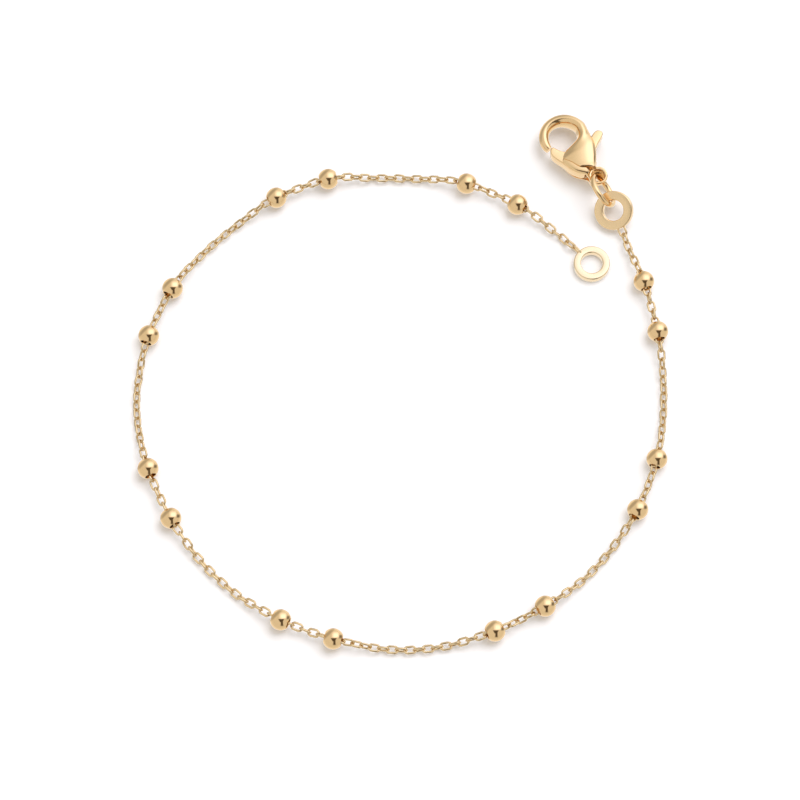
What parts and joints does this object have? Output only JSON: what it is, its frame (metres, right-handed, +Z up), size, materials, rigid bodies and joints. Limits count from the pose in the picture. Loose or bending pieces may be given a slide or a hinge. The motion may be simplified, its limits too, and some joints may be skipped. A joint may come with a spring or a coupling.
{
  "type": "bracelet",
  "caption": "Fine cable-chain bracelet with small drilled ball beads in pairs, lying open, with a claw clasp, flat clasp ring and flat end ring.",
  "frame": {"origin": "on the floor under the middle of the bracelet's overall box, as it lies open", "axes": "+Z up from the floor, +Y towards the clasp side of the open loop, +X towards the side of the two rings"},
  "size_m": [0.0536, 0.0571, 0.0034],
  "materials": {
    "polished_gold": "polished gold plate",
    "satin_gold": "finely brushed gold plate",
    "chain_gold": "polished gold-plated wire"
  },
  "bodies": {
    "bracelet": {"bead_01": "polished_gold", "bead_02": "polished_gold", "bead_03": "polished_gold", "bead_04": "polished_gold", "bead_05": "polished_gold", "bead_06": "polished_gold", "bead_07": "polished_gold", "bead_08": "polished_gold", "bead_09": "polished_gold", "bead_10": "polished_gold", "bead_11": "polished_gold", "bead_12": "polished_gold", "bead_13": "polished_gold", "bead_14": "polished_gold", "bead_15": "polished_gold", "bead_16": "polished_gold", "chain": "chain_gold", "end_ring": "satin_gold", "clasp_ring": "satin_gold", "jump_ring": "polished_gold", "clasp_body": "polished_gold", "clasp_pin": "polished_gold"},
    "lever": {"clasp_lever": "polished_gold"}
  },
  "joints": [
    {"name": "lever_pivot", "type": "hinge", "parent": "bracelet", "child": "lever", "pos_m": [0.01832, 0.02296, 0.00135], "axis": [0, 0, -1], "range_deg": [0, 18], "stiffness_Nm_per_rad": 0.0005, "springref_deg": -28.65}
  ]
}
